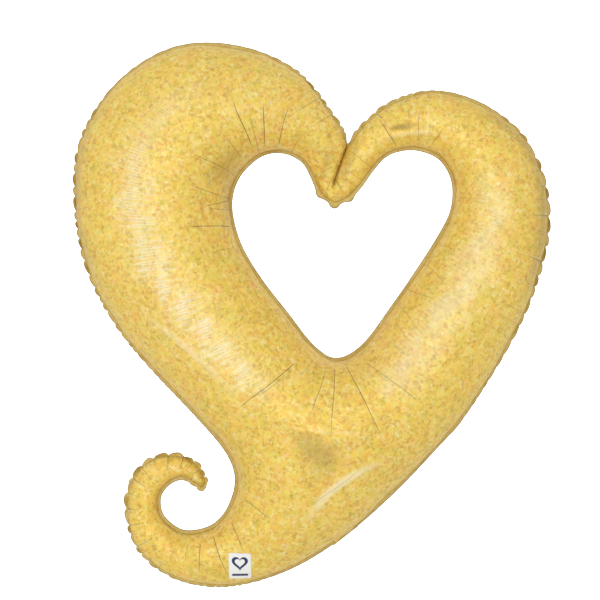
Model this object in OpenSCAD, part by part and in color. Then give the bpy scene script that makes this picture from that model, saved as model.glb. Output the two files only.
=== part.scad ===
// Heart-shaped foil balloon: a ring of inflated film around a heart-shaped opening, running out into a
// curled tail. Two film panels are heat-sealed to each other round both edges. A fill neck hangs on the
// outer seam, folded back behind the balloon, and a flat valve of two thin films runs from the neck's
// mouth through the seam into the gas. +Z is up and the front faces -Y. The origin is the tip of the
// notch inside the opening, where a ribbon or the curl of another heart carries the balloon.

/* [Size] */
// Height of the inflated balloon over its seam margins
balloon_h = 820; // [700:10:1000]

/* [Film] */
// Thickness that each panel is drawn at
film_t = 0.4; // [0.3:0.05:0.8]
// Thickness of the welded double film in the seams
seam_t = 0.8; // [0.6:0.1:1.2]
// Width of the seam margin outside the weld line
margin_w = 6; // [4:0.5:8]
// How far the weld reaches inside the panel's edge
weld_lap = 1.6; // [1.2:0.1:2.5]

/* [Inflation] */
// Half depth of a narrow tube as a share of its width
fullness = 0.44; // [0.3:0.01:0.5]
// Width at which a tube's half depth has dropped to half that share
flattening_w = 470; // [420:10:700]

/* [Fill neck] */
// Width of the neck across its plies
neck_w = 46; // [42:1:56]
// Length of the neck from its fold to its mouth
neck_l = 62; // [50:1:75]
// Width of each welded edge of the neck
neck_weld_w = 6; // [4:0.5:7]
// Radius of the ribbon hole through both plies
ribbon_hole_r = 3; // [2:0.5:4]
// Distance of the ribbon hole's centre from the neck's mouth
ribbon_hole_inset = 9; // [7:1:12]

/* [Valve] */
// Width of the valve's films
valve_w = 28; // [22:1:28]
// Length of the valve's leaf inside the envelope
valve_l = 110; // [80:1:115]
// Thickness of each valve film
valve_t = 0.15; // [0.1:0.05:0.15]
// Gas gap between the two valve films
valve_gap = 0.1; // [0.05:0.05:0.1]
// Width of the weld along each edge of the valve's leaf
valve_weld_w = 3; // [2:0.5:4]

/* [Hidden] */

// Ribs across the inflated tube, as [x, z] of each end on the weld line, drawn for weld lines that span
// drawn_h. The left and right arms run from the notch to the foot of the heart-shaped opening, outer edge
// first.
drawn_h = 888;
left_ribs = [
    [[-1, 38], [0.8, 7.5]], [[7, 68], [-21, 24]], [[18, 108], [-34, 52]], [[-5, 151], [-48, 76]],
    [[-65, 222], [-73, 91]], [[-160, 261], [-102, 94]], [[-263, 259], [-130, 83]],
    [[-354, 203], [-158, 55]], [[-415, 110], [-172, 20]], [[-425, 10], [-171, -20]],
    [[-406, -98], [-155, -70]], [[-356, -194], [-122, -124]], [[-294, -269], [-80, -178]],
    [[-236, -330], [-38, -231]], [[-177, -398], [3, -255]],
];
right_ribs = [
    [[-1, 38], [0.8, 7.5]], [[10, 64], [24, 18]], [[25, 100], [43, 38]], [[50, 134], [60, 62]],
    [[96, 170], [82, 86]], [[165, 187], [108, 97]], [[241, 167], [140, 98]],
    [[309, 116], [177, 82]], [[344, 46], [199, 44]], [[352, -34], [198, -4]],
    [[334, -116], [178, -47]], [[300, -199], [142, -104]], [[250, -285], [100, -165]],
    [[204, -353], [50, -231]], [[177, -383], [3, -255]],
];
// The tail runs from the foot of both arms round the curl to its tip, inner edge of the curl first.
tail_ribs = [
    [[-177, -398], [177, -383]], [[-158, -448], [98, -466]], [[-170, -497], [14, -539]],
    [[-195, -527], [-76, -594]], [[-228, -539], [-176, -622]], [[-258, -536], [-262, -609]],
    [[-286, -512], [-320, -565]], [[-292, -482], [-341, -500]], [[-282, -461], [-330, -446]],
    [[-264, -448], [-294, -415]], [[-246, -446], [-252, -413]], [[-231, -455], [-225, -429]],
    [[-219, -464], [-212, -456]],
];
k_size = (balloon_h - 2 * margin_w) / drawn_h;
arm_spans = len(left_ribs) - 1;
tail_spans = len(tail_ribs) - 1;
rows_per_span = 3;
arch_steps = 8;

function tail_of(list, first) = [for (i = [first : len(list) - 1]) list[i]];
function backwards(list) = [for (i = [len(list) - 1 : -1 : 0]) list[i]];
function edge(ribs, side) = [for (rib = ribs) k_size * rib[side]];

// Weld lines: left_line and right_line run from the notch to the tip of the tail, and heart_line runs
// from the tip of the notch down the left of the opening and up its right.
left_line = concat(edge(left_ribs, 0), tail_of(edge(tail_ribs, 0), 1));
right_line = concat(edge(right_ribs, 0), tail_of(edge(tail_ribs, 1), 1));
heart_line = concat(edge(left_ribs, 1), tail_of(backwards(edge(right_ribs, 1)), 1));

// Catmull-Rom curve through the points of line, with t counted in points.
function curve(line, t) =
    let (
        i = min(floor(t), len(line) - 2), f = t - i,
        a = line[max(i - 1, 0)], b = line[i],
        c = line[i + 1], d = line[min(i + 2, len(line) - 1)]
    )
    b + ((c - a) * f + (2 * a - 5 * b + 4 * c - d) * f * f + (3 * b - a - 3 * c + d) * f * f * f) / 2;

// Unit vector across line at t, towards the film, which lies on its left (side 1) or right (side -1).
function across(line, t, side) =
    let (
        step = 0.02, last = len(line) - 1,
        v = curve(line, min(t + step, last)) - curve(line, max(t - step, 0))
    )
    [-v.y, v.x] * side / norm(v);

// A point of a weld line moved inset towards the film. The notch's two ends have one shared direction.
function left_point(t, inset) =
    curve(left_line, t) + inset * (t == 0 ? [0, -1] : across(left_line, t, 1));
function right_point(t, inset) =
    curve(right_line, t) + inset * (t == 0 ? [0, -1] : across(right_line, t, -1));
function heart_point(t, inset) =
    let (at_notch = t == 0 || t == 2 * arm_spans)
    curve(heart_line, t) + inset * (at_notch ? [0, 1] : across(heart_line, t, -1));

// Half depth of the inflated tube over a rib of width w, and share of a rib at step k of its arch.
function half_depth(w) = fullness * w / (1 + pow(w / flattening_w, 3));
function share(k) = (1 - cos(180 * k / arch_steps)) / 2;
function snap(p) = [for (c = p) round(c * 1000) / 1000];

// The arch over the rib from a to b; each point is [x, y, z] on the front of the balloon.
function arch(a, b, inset) =
    let (h = half_depth(norm(b - a) + 2 * inset) - inset)
    [for (k = [0 : arch_steps])
        let (p = a + (b - a) * share(k)) snap([p.x, -h * sin(180 * k / arch_steps), p.y])];

function ts(first, spans) = [for (i = [0 : spans * rows_per_span]) first + i / rows_per_span];
function left_rows(inset) =
    [for (t = ts(0, arm_spans)) arch(left_point(t, inset), heart_point(t, inset), inset)];
function right_rows(inset) =
    [for (t = ts(0, arm_spans))
        arch(heart_point(2 * arm_spans - t, inset), right_point(t, inset), inset)];
function tail_rows(inset) =
    [for (t = ts(arm_spans, tail_spans)) arch(left_point(t, inset), right_point(t, inset), inset)];

// The three-cornered patch where both arms run into the tail. Its sides are the arms' last ribs and the
// tail's first, and its height blends their three arches.
function patch_point(i, j, corners, inset) =
    let (
        k = arch_steps - i - j,
        w = [share(i), share(j), share(k)], s = w / (w.x + w.y + w.z),
        p = corners[0] * s[0] + corners[1] * s[1] + corners[2] * s[2],
        h = [for (n = [0 : 2])
            half_depth(norm(corners[n] - corners[(n + 1) % 3]) + 2 * inset) - inset],
        squared = h[0] * h[0] * s[0] * s[1] + h[1] * h[1] * s[1] * s[2] + h[2] * h[2] * s[2] * s[0]
    )
    snap([p.x, -2 * sqrt(squared), p.y]);
function patch_rows(inset) =
    let (corners = [
        heart_point(arm_spans, inset), left_point(arm_spans, inset), right_point(arm_spans, inset)
    ])
    [for (i = [0 : arch_steps])
        [for (j = [0 : arch_steps - i]) patch_point(arch_steps - i - j, j, corners, inset)]];

// Triangles of a grid of rows, where each row may be as long as the last or one point shorter.
function grid(rows) = [
    for (r = [0 : len(rows) - 2]) for (k = [0 : len(rows[r]) - 2]) each
        let (a = rows[r][k], b = rows[r][k + 1], c = rows[r + 1][k], d = rows[r + 1][k + 1])
        is_undef(d) ? [[a, b, c]] : [[a, b, c], [b, d, c]]
];
function flipped(triangles) = [for (t = triangles) [t[0], t[2], t[1]]];
function fan(points) = [for (k = [1 : len(points) - 2]) [points[0], points[k], points[k + 1]]];
function last_row(rows) = rows[len(rows) - 1];

// One film face of the front panel, set inset inside the weld lines: its triangles face -Y.
function film_face(inset) = concat(
    grid(left_rows(inset)), grid(right_rows(inset)), grid(tail_rows(inset)),
    flipped(grid(patch_rows(inset))), fan(last_row(tail_rows(inset)))
);

// Flat rim between the outer and the inner face along their weld lines.
function flat_point(p) = snap([p.x, 0, p.y]);
function rim_line(inset) = concat(
    [for (t = ts(0, arm_spans + tail_spans)) flat_point(left_point(t, inset))],
    backwards([for (t = ts(0, arm_spans + tail_spans)) flat_point(right_point(t, inset))])
);
function heart_rim(inset) =
    [for (t = ts(0, 2 * arm_spans)) flat_point(heart_point(t, inset))];
panel_triangles = concat(
    film_face(0), flipped(film_face(film_t)),
    grid([rim_line(film_t), rim_line(0)]), grid([heart_rim(0), heart_rim(film_t)])
);

// A panel's triangles as one closed solid whose rim lies in the plane y = 0.
module film_shell() {
    polyhedron(
        points = [for (t = panel_triangles) each t],
        faces = [for (n = [0 : len(panel_triangles) - 1]) [3 * n, 3 * n + 1, 3 * n + 2]]
    );
}

module front_panel() {
    color("gold") translate([0, -seam_t / 2, 0]) film_shell();
}

module rear_panel() {
    color("gold") translate([0, seam_t / 2, 0]) mirror([0, 1, 0]) film_shell();
}

module outer_outline() {
    polygon([for (p = rim_line(0)) [p.x, p.z]]);
}

module heart_outline() {
    polygon([for (p = heart_rim(0)) [p.x, p.z]]);
}

// Stands a flat shape up in the XZ plane and gives it thickness t along Y.
module upright(t) {
    rotate([90, 0, 0]) linear_extrude(t, center = true) children();
}

// The neck's place: the middle of its root on the outer weld line, and the slope of that line.
neck_root = k_size * [15, -537];
neck_slope = 38;
// Distances of the neck's fold and of the valve leaf's fold from the weld line, outwards and inwards.
neck_fold_out = margin_w + 1;
leaf_fold_in = weld_lap + 1;
// Bare stretch that each fold takes, before the flat films start.
fold_l = 1.2;
// Thickness of the valve's two films and the gap between them, which the seam and the neck close on.
valve_pack_t = 2 * valve_t + valve_gap;

// The neck's root as a frame: +X runs along the seam, +Y to the rear and +Z into the balloon.
module at_neck() {
    translate([neck_root.x, 0, neck_root.y]) rotate([0, -neck_slope, 0]) children();
}

// The neck folded back as a frame: +X along the seam, +Y from the fold to the mouth, +Z through the plies
// towards the balloon.
module on_neck() {
    at_neck() translate([0, 0, -neck_fold_out]) children();
}

module outer_seam() {
    color("goldenrod") difference() {
        upright(seam_t) difference() {
            offset(delta = margin_w) outer_outline();
            offset(delta = -weld_lap, chamfer = true) outer_outline();
        }
        at_neck() cube([valve_w, valve_pack_t, 4 * margin_w], center = true);
    }
}

module heart_seam() {
    color("goldenrod") upright(seam_t) difference() {
        offset(delta = weld_lap) heart_outline();
        offset(delta = -margin_w) heart_outline();
    }
}

// One of the two valve films from z = low to high at the neck's root; side is -1 in front, 1 behind.
module upright_film(side, low, high) {
    at_neck() translate([-valve_w / 2, side * (valve_gap + valve_t) / 2 - valve_t / 2, low])
        cube([valve_w, valve_t, high - low]);
}

module throat_film(side) {
    color("lightgray") upright_film(side, -margin_w, weld_lap);
}

module valve_film(side) {
    color("lightgray") upright_film(side, leaf_fold_in + fold_l, leaf_fold_in + valve_l);
}

module valve_weld(side) {
    color("silver") at_neck()
        translate([side * (valve_w - valve_weld_w) / 2, 0, leaf_fold_in + (valve_l + fold_l) / 2])
            cube([valve_weld_w, valve_gap, valve_l - fold_l], center = true);
}

// A flat piece of the neck from y = fold_l to high, w wide about x, t thick about z.
module neck_strip(x, w, z, t, high) {
    on_neck() translate([x - w / 2, fold_l, z - t / 2]) cube([w, high - fold_l, t]);
}

// A ply of the neck; side is 1 next to the balloon and -1 on the outside of the fold.
module neck_ply(side) {
    color("gold") difference() {
        neck_strip(0, neck_w, side * (valve_pack_t + film_t) / 2, film_t, neck_l);
        on_neck() translate([0, neck_l - ribbon_hole_inset, -neck_l])
            cylinder(r = ribbon_hole_r, h = 2 * neck_l, $fn = 64);
    }
}

module neck_weld(side) {
    color("goldenrod")
        neck_strip(side * (neck_w - neck_weld_w) / 2, neck_weld_w, 0, valve_pack_t, neck_l);
}

// A valve film's end between the neck's plies, which stops short of the ribbon hole.
module mouth_film(side) {
    color("lightgray")
        neck_strip(0, valve_w, side * (valve_gap + valve_t) / 2, valve_t, neck_l - 2 * ribbon_hole_inset);
}

front_panel();
rear_panel();
outer_seam();
heart_seam();
throat_film(-1);  // throat_front_film
throat_film(1);  // throat_rear_film
neck_ply(1);  // neck_inner_ply
neck_ply(-1);  // neck_outer_ply
neck_weld(-1);  // neck_left_weld
neck_weld(1);  // neck_right_weld
mouth_film(1);  // mouth_inner_film
mouth_film(-1);  // mouth_outer_film
valve_film(-1);  // valve_front_film
valve_film(1);  // valve_rear_film
valve_weld(-1);  // valve_left_weld
valve_weld(1);  // valve_right_weld
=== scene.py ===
"""Heart-shaped foil balloon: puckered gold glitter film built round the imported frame.

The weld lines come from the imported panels. Each panel's height over the plane between its weld lines is
the root of a Poisson solution, which gives round tubes and one smooth swelling where they join. Puckers,
crimps, creases and the seam margins are then worked into the film as geometry.
"""

import math

import bpy
import numpy as np
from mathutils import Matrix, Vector, geometry
from mathutils.bvhtree import BVHTree
from mathutils.kdtree import KDTree


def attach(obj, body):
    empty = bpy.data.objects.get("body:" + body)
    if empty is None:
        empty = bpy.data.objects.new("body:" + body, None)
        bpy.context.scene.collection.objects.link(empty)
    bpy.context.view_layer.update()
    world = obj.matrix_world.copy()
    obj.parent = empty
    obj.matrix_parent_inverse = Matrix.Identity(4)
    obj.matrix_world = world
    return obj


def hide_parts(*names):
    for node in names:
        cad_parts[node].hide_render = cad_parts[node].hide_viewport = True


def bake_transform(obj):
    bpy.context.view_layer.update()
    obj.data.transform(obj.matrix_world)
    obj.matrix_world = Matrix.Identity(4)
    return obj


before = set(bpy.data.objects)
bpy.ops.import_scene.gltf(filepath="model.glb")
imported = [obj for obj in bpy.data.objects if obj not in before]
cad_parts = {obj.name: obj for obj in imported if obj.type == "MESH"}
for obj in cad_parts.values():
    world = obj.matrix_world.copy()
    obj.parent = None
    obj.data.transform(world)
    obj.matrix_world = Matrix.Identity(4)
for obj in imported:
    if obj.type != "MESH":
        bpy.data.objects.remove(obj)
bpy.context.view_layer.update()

MM = 0.001
ROUNDNESS = 0.94  # height of a narrow tube's arch as a share of its half width
ARM_COLUMNS = 64  # mesh cells across each arm of the heart
TAIL_COLUMNS = 80  # mesh cells across the tail
ROW_PITCH = 2.0 * MM  # length of those cells
PATCH_PITCH = 4 * MM  # size of the cells where the arms join the tail
MARGIN = 5.5 * MM  # width of the welded margins


# ---------------------------------------------------------------- outlines from the frame


def closed_loops(edges):
    """Chains edges, as pairs of keys, into closed loops of keys."""
    after = {}
    for a, b in edges:
        after.setdefault(a, []).append(b)
        after.setdefault(b, []).append(a)
    loops, seen = [], set()
    for first in after:
        if first in seen:
            continue
        loop, here, last = [], first, None
        while here not in seen:
            seen.add(here)
            loop.append(here)
            onwards = [k for k in after[here] if k != last and k not in seen]
            last, here = here, (onwards or [first])[0]
        loops.append(loop)
    return loops


def area_of(loop):
    """Signed area of a closed loop of (x, z) points."""
    p = np.array(loop)
    q = np.roll(p, -1, 0)
    return float((p[:, 0] * q[:, 1] - q[:, 0] * p[:, 1]).sum() / 2)


def weld_loops():
    """The panel's outer weld line and the opening's, as (x, z) arrays that start at the notch and run
    down the left."""
    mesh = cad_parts["front_panel"].data
    co = np.array([v.co for v in mesh.vertices], float).reshape(-1, 3)
    rim_y = co[:, 1].max() - 0.01 * MM
    count = {}
    for face in mesh.polygons:
        corners = [co[i] for i in face.vertices]
        if min(c[1] for c in corners) < rim_y:
            continue
        keys = [(round(c[0], 5), round(c[2], 5)) for c in corners]
        for a, b in zip(keys, keys[1:] + keys[:1]):
            pair = (min(a, b), max(a, b))
            count[pair] = count.get(pair, 0) + 1
    loops = closed_loops([pair for pair, n in count.items() if n == 1])
    loops.sort(key=lambda loop: -abs(area_of(loop)))
    ordered = []
    for loop in (loops[0], loops[-1]):
        p = np.array(loop)
        if area_of(loop) < 0:
            p = p[::-1]
        ordered.append(np.roll(p, -int(np.argmin((p**2).sum(1))), 0))
    return ordered


def spline(points, t):
    """Catmull-Rom curve through points at each parameter in t, counted in points."""
    t = np.asarray(t, float)
    last = len(points) - 1
    i = np.clip(np.floor(t).astype(int), 0, last - 1)
    f = (t - i)[:, None]
    a, b = points[np.maximum(i - 1, 0)], points[i]
    c, d = points[i + 1], points[np.minimum(i + 2, last)]
    bend = (2 * a - 5 * b + 4 * c - d) * f**2 + (3 * b - a - 3 * c + d) * f**3
    return b + ((c - a) * f + bend) / 2


def lengths_along(path):
    """Distance along a path at each of its points."""
    return np.concatenate([[0], np.cumsum(np.linalg.norm(np.diff(path, axis=0), axis=1))])


def tree_of(points):
    """A search tree over (x, z) points."""
    tree = KDTree(len(points))
    for k, p in enumerate(points):
        tree.insert((p[0], p[1], 0), k)
    tree.balance()
    return tree


# ---------------------------------------------------------------- the flat layout of the film


def row_parameters(lines, first, last):
    """Parameters from first to last at which the longest of lines advances by about ROW_PITCH."""
    dense = np.linspace(first, last, 2000)
    reached = max((lengths_along(spline(line, dense)) for line in lines), key=lambda gone: gone[-1])
    rows = int(math.ceil(reached[-1] / ROW_PITCH))
    return np.interp(np.linspace(0, reached[-1], rows + 1), reached, dense)


def strip_points(a, b, columns):
    """Points in the plane on the ribs from each a to its b, closest together at both ends."""
    share = (1 - np.cos(np.pi * np.arange(columns + 1) / columns)) / 2
    return a[:, None, :] + (b - a)[:, None, :] * share[None, :, None]


def strip_faces(rows, columns, offset, flip):
    """Triangles of a strip's grid, as indices that start at offset."""
    r, c = np.meshgrid(np.arange(rows - 1), np.arange(columns), indexing="ij")
    corner = offset + r * (columns + 1) + c
    below, right = corner + columns + 1, corner + 1
    faces = np.concatenate([
        np.stack([corner, right, below], -1).reshape(-1, 3),
        np.stack([right, below + 1, below], -1).reshape(-1, 3),
    ])
    return faces[:, ::-1] if flip else faces


def inside(p, loop):
    """Whether p lies inside a closed loop of points."""
    a, b = loop, np.roll(loop, -1, 0)
    spans = (a[:, 1] > p[1]) != (b[:, 1] > p[1])
    x = a[:, 0] + (p[1] - a[:, 1]) / np.where(spans, b[:, 1] - a[:, 1], 1) * (b[:, 0] - a[:, 0])
    return bool((spans & (p[0] < x)).sum() % 2)


class Film:
    """The front film's mesh in the plane of the seams, with what each point is."""

    def __init__(self):
        self.points, self.faces, self.along, self.strip = [], [], [], []
        self.count = 0

    def add(self, points, faces, along, strip):
        """Adds points with their faces, their places along the crest and the strip they belong to."""
        self.points.append(points)
        self.faces.append(faces)
        self.along.append(along)
        self.strip.append(np.full(len(points), strip))
        self.count += len(points)

    def close(self):
        """Joins points that lie on each other."""
        points = np.vstack(self.points)
        keys = np.round(points / (0.002 * MM)).astype(np.int64)
        _, first, where = np.unique(keys, axis=0, return_index=True, return_inverse=True)
        self.points = points[first]
        self.along = np.concatenate(self.along)[first]
        self.strip = np.concatenate(self.strip)[first]
        faces = where.reshape(-1)[np.vstack(self.faces)]
        a, b, c = faces.T
        self.faces = faces[(a != b) & (b != c) & (a != c)]


LEFT, RIGHT, TAIL, PATCH = range(4)


def lay_out_film():
    """The whole film between the weld lines, in the plane."""
    film = Film()
    sides = ((LEFT, left_line, heart_left, False), (RIGHT, right_line, heart_right, True))
    feet = []
    for strip, outer, heart, flip in sides:
        t = row_parameters([outer], 0, arm_spans)
        grid = strip_points(spline(outer, t), spline(heart, t), ARM_COLUMNS)
        along = np.repeat(lengths_along(grid.mean(1)), ARM_COLUMNS + 1)
        film.add(grid.reshape(-1, 2), strip_faces(len(t), ARM_COLUMNS, film.count, flip), along, strip)
        feet.append(grid[-1])
    t = row_parameters([left_line, right_line], arm_spans, arm_spans + tail_spans)
    grid = strip_points(spline(left_line, t), spline(right_line, t), TAIL_COLUMNS)
    film.add(
        grid.reshape(-1, 2), strip_faces(len(t), TAIL_COLUMNS, film.count, False),
        np.zeros(grid.shape[0] * grid.shape[1]), TAIL,
    )
    boundary = np.vstack([feet[0][::-1][:-1], grid[0][:-1], feet[1][:-1]])
    points, faces = flat_fill(boundary, PATCH_PITCH)
    film.add(points, faces + film.count, np.zeros(len(points)), PATCH)
    film.close()
    p = film.points
    a, b, c = (p[film.faces[:, k]] for k in range(3))
    turn = (b[:, 0] - a[:, 0]) * (c[:, 1] - a[:, 1]) - (b[:, 1] - a[:, 1]) * (c[:, 0] - a[:, 0])
    film.faces = np.where((turn < 0)[:, None], film.faces[:, ::-1], film.faces)
    return film


outer_loop, heart_loop = weld_loops()
arm_spans = len(heart_loop) // 2
tail_spans = (len(outer_loop) - 1) // 2 - arm_spans
left_line = outer_loop[: arm_spans + tail_spans + 1]
right_line = np.vstack([outer_loop[:1], outer_loop[: arm_spans + tail_spans : -1]])
heart_left = heart_loop[: arm_spans + 1]
heart_right = np.vstack([heart_loop[:1], heart_loop[: arm_spans - 1 : -1]])


# ---------------------------------------------------------------- inflation


def edge_points(film):
    """Indices of the points on the film's edges."""
    pairs = np.sort(np.vstack([film.faces[:, [0, 1]], film.faces[:, [1, 2]], film.faces[:, [2, 0]]]), 1)
    unique, counts = np.unique(pairs, axis=0, return_counts=True)
    return np.unique(unique[counts == 1])


def solve_poisson(points, faces, fixed):
    """Finite-element solution of -laplace(f) = 1 with f = 0 at the fixed points, by conjugate
    gradients."""
    n = len(points)
    load = np.zeros(n)
    parts = []
    diagonal = np.zeros(n)
    for k in range(3):
        i, j, o = faces[:, (k + 1) % 3], faces[:, (k + 2) % 3], faces[:, k]
        u, v = points[i] - points[o], points[j] - points[o]
        cross = np.abs(u[:, 0] * v[:, 1] - u[:, 1] * v[:, 0])
        w = (u * v).sum(1) / np.maximum(cross, 1e-14) / 2
        parts.append((i, j, w))
        diagonal += np.bincount(i, w, n) + np.bincount(j, w, n)
        load += np.bincount(o, cross / 6, n)
    i, j, w = (np.concatenate(part) for part in zip(*parts))
    ends, others, both = np.concatenate([i, j]), np.concatenate([j, i]), np.concatenate([w, w])
    free = np.ones(n)
    free[fixed] = 0

    def stiffness(f):
        return (diagonal * f - np.bincount(ends, both * f[others], n)) * free

    f = np.zeros(n)
    residual = load * free
    scaled = residual / diagonal
    step = scaled.copy()
    rho = residual @ scaled
    target = rho * 1e-9
    for _ in range(4000):
        if rho < target:
            break
        image = stiffness(step)
        length = rho / (step @ image)
        f += length * step
        residual -= length * image
        scaled = residual / diagonal
        fresh = residual @ scaled
        step = scaled + step * (fresh / rho)
        rho = fresh
    return f


def normals_of(points, faces):
    """Unit normals at the points of a mesh, weighted by area."""
    a, b, c = (points[faces[:, k]] for k in range(3))
    flat = np.cross(b - a, c - a)
    total = np.stack([
        sum(np.bincount(faces[:, k], flat[:, axis], len(points)) for k in range(3)) for axis in range(3)
    ], 1)
    return total / np.maximum(np.linalg.norm(total, axis=1), 1e-20)[:, None]


# ---------------------------------------------------------------- weld lines by arc length

SEAM_STEP = 0.5 * MM


class Seam:
    """A closed weld line, sampled at even steps from the notch down the left."""

    def __init__(self, left, right, side):
        half = [spline(line, np.linspace(0, len(line) - 1, 60 * len(line))) for line in (left, right)]
        path = np.vstack([half[0], half[1][::-1][1:]])
        gone = lengths_along(path)
        self.length = gone[-1]
        count = int(self.length / SEAM_STEP)
        self.s = np.arange(count) * self.length / count
        self.points = np.stack([np.interp(self.s, gone, path[:, k]) for k in (0, 1)], 1)
        ahead = np.roll(self.points, -3, 0) - np.roll(self.points, 3, 0)
        self.tangent = ahead / np.linalg.norm(ahead, axis=1)[:, None]
        self.away = side * np.stack([self.tangent[:, 1], -self.tangent[:, 0]], 1)
        self.tree = tree_of(self.points)

    def nearest(self, points):
        """Arc length of the nearest place on the line for each (x, z), and the distance to it."""
        found = [self.tree.find((p[0], p[1], 0))[1:] for p in points]
        k = np.array([f[0] for f in found])
        distance = np.array([f[1] for f in found])
        slide = ((points - self.points[k]) * self.tangent[k]).sum(1)
        slide = np.clip(slide, -SEAM_STEP / 2, SEAM_STEP / 2)
        return self.s[k] + slide, np.sqrt(np.maximum(distance**2 - slide**2, 0))

    def read(self, s, values):
        """Values given at the line's samples, read at arc lengths s."""
        return np.interp(s, self.s, values, period=self.length)

    def at(self, s, rows):
        """The same for rows of values."""
        return np.stack([self.read(s, column) for column in rows.T], 1)

    def outwards(self, s):
        """Unit vectors away from the film at arc lengths s."""
        away = self.at(s, self.away)
        return away / np.linalg.norm(away, axis=1)[:, None]


WAVE_COUNT = 10


def waves(points, wavelength, seed):
    """Smooth noise between about -1 and 1: a sum of sine waves in random directions."""
    rng = np.random.default_rng(seed)
    total = np.zeros(len(points))
    for _ in range(WAVE_COUNT):
        way = rng.normal(size=points.shape[1])
        way *= 2 * np.pi / (wavelength * rng.uniform(0.7, 1.5) * np.linalg.norm(way))
        total += np.sin(points @ way + rng.uniform(0, 2 * np.pi))
    return total / math.sqrt(WAVE_COUNT)


def bell(x, width):
    """1 at zero, falling smoothly away on both sides."""
    return np.exp(-((x / width) ** 2))


def smooth(x, low, high):
    """0 up to low, 1 from high on, and an even ramp with soft ends between."""
    t = np.clip((x - low) / (high - low), 0, 1)
    return t * t * (3 - 2 * t)


# ---------------------------------------------------------------- puckers along the outer weld line

# Places along the outer weld line, from the notch down the left: x and z, the puckers' height and their
# spacing there, in millimetres. Between two places both change evenly.
STRETCHES = (
    (2, 25, 0.0, 12), (12, 100, 1.8, 14), (-13, 165, 2.3, 16), (-50, 200, 1.8, 16), (-120, 239, 0.3, 18),
    (-200, 246, 0.2, 26), (-258, 234, 0.6, 26), (-330, 183, 0.6, 20), (-367, 131, 1.8, 19),
    (-391, 63, 2.8, 18), (-392, -20, 3.0, 18), (-367, -117, 2.6, 18), (-337, -177, 1.7, 16),
    (-284, -245, 0.8, 15), (-216, -320, 0.2, 15), (-150, -365, 0.0, 20), (-115, -440, 0.0, 20),
    (-205, -530, 0.0, 20), (-262, -480, 0.0, 20), (-240, -405, 0.0, 16), (-197, -428, 2.0, 14),
    (-192, -395, 3.8, 17), (-231, -371, 4.6, 19), (-276, -380, 4.6, 20), (-310, -425, 4.4, 20),
    (-314, -470, 3.8, 19), (-299, -515, 2.8, 17), (-261, -550, 1.9, 13), (-200, -568, 1.4, 12),
    (-134, -570, 0.9, 13), (-96, -558, 0.3, 14), (0, -505, 0.1, 18), (100, -410, 0.2, 18),
    (190, -290, 0.3, 18), (257, -185, 1.2, 21), (302, -102, 2.6, 23), (322, -42, 3.2, 24),
    (326, 10, 3.2, 24), (310, 78, 2.6, 22), (272, 123, 1.4, 18), (219, 156, 0.2, 16),
    (159, 173, 0.4, 18), (107, 165, 1.6, 17), (54, 134, 2.2, 15), (24, 101, 1.6, 14), (9, 63, 0.4, 12),
)
PUCKER_REACH = 12 * MM
SWELL = 0.16  # the film's share of a pucker's height; the margin shows the rest
FRONT, REAR = -1, 1


class Puckers:
    """Where the outer weld line gathers, how far its film swells between the folds, and the folds' length
    and depth in each panel."""

    def __init__(self, seam):
        self.seam = seam
        places = np.array(STRETCHES) * MM
        s, _ = seam.nearest(places[:, :2])
        self.height = np.interp(seam.s, s, places[:, 2], period=seam.length)
        self.pitch = np.interp(seam.s, s, places[:, 3], period=seam.length)
        rng = np.random.default_rng(11)
        folds = [0.0]
        while folds[-1] < seam.length:
            step = np.interp(folds[-1], seam.s, self.pitch)
            folds.append(folds[-1] + step * rng.uniform(0.65, 1.35))
        self.folds = np.array(folds) * seam.length / folds[-1]
        count = len(self.folds)
        self.strength = rng.uniform(0.55, 1.2, count)
        self.reach = {side: rng.gamma(2.2, 7.5 * MM, count) + 6 * MM for side in (FRONT, REAR)}
        self.depth = {side: rng.uniform(0.3, 1.0, count) for side in (FRONT, REAR)}
        self.lean = rng.normal(0, 1, count)

    def height_at(self, s):
        """The puckers' height at each place, in metres."""
        return self.seam.read(s, self.height)

    def phase(self, s):
        """Which fold is behind each place, and the share of the way to the next."""
        k = np.clip(np.searchsorted(self.folds, s, side="right") - 1, 0, len(self.folds) - 2)
        return k, np.clip((s - self.folds[k]) / (self.folds[k + 1] - self.folds[k]), 0, 1)

    def swelling(self, s):
        """How far the weld line stands out, in metres."""
        k, share = self.phase(s)
        arch = np.sin(np.pi * share) ** 0.75 - 0.62
        height = self.height_at(s)
        return SWELL * height * arch * (self.strength[k] * (1 - share) + self.strength[k + 1] * share)

    def petals(self, s):
        """The margin's width as a share of its full width: it shows whole between the folds and is
        drawn in at them."""
        k, share = self.phase(s)
        height = self.height_at(s)
        drawn_in = np.clip(height / (3.4 * MM), 0, 1) * (1 - np.sin(np.pi * share**0.8) ** 0.8)
        return 1 + 0.12 * np.clip(height / (4 * MM), 0, 1) - 0.85 * drawn_in

    def folding(self, s, d, side):
        """How far the folds that run in from the weld line sink the film at distance d from it."""
        k, share = self.phase(s)
        height = self.height_at(s)
        total = np.zeros(len(s))
        for fold in (k, k + 1):
            off = s - self.folds[fold]
            run = self.reach[side][fold]
            width = 1.5 * MM + 0.05 * d
            drop = np.minimum(0.2 * height, 0.7 * MM) * self.depth[side][fold]
            total += drop * bell(off, width) * bell(d, run * 1.6) * (1 - np.exp(-d / (2.5 * MM)))
        return total


# ---------------------------------------------------------------- creases in the film

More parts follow.
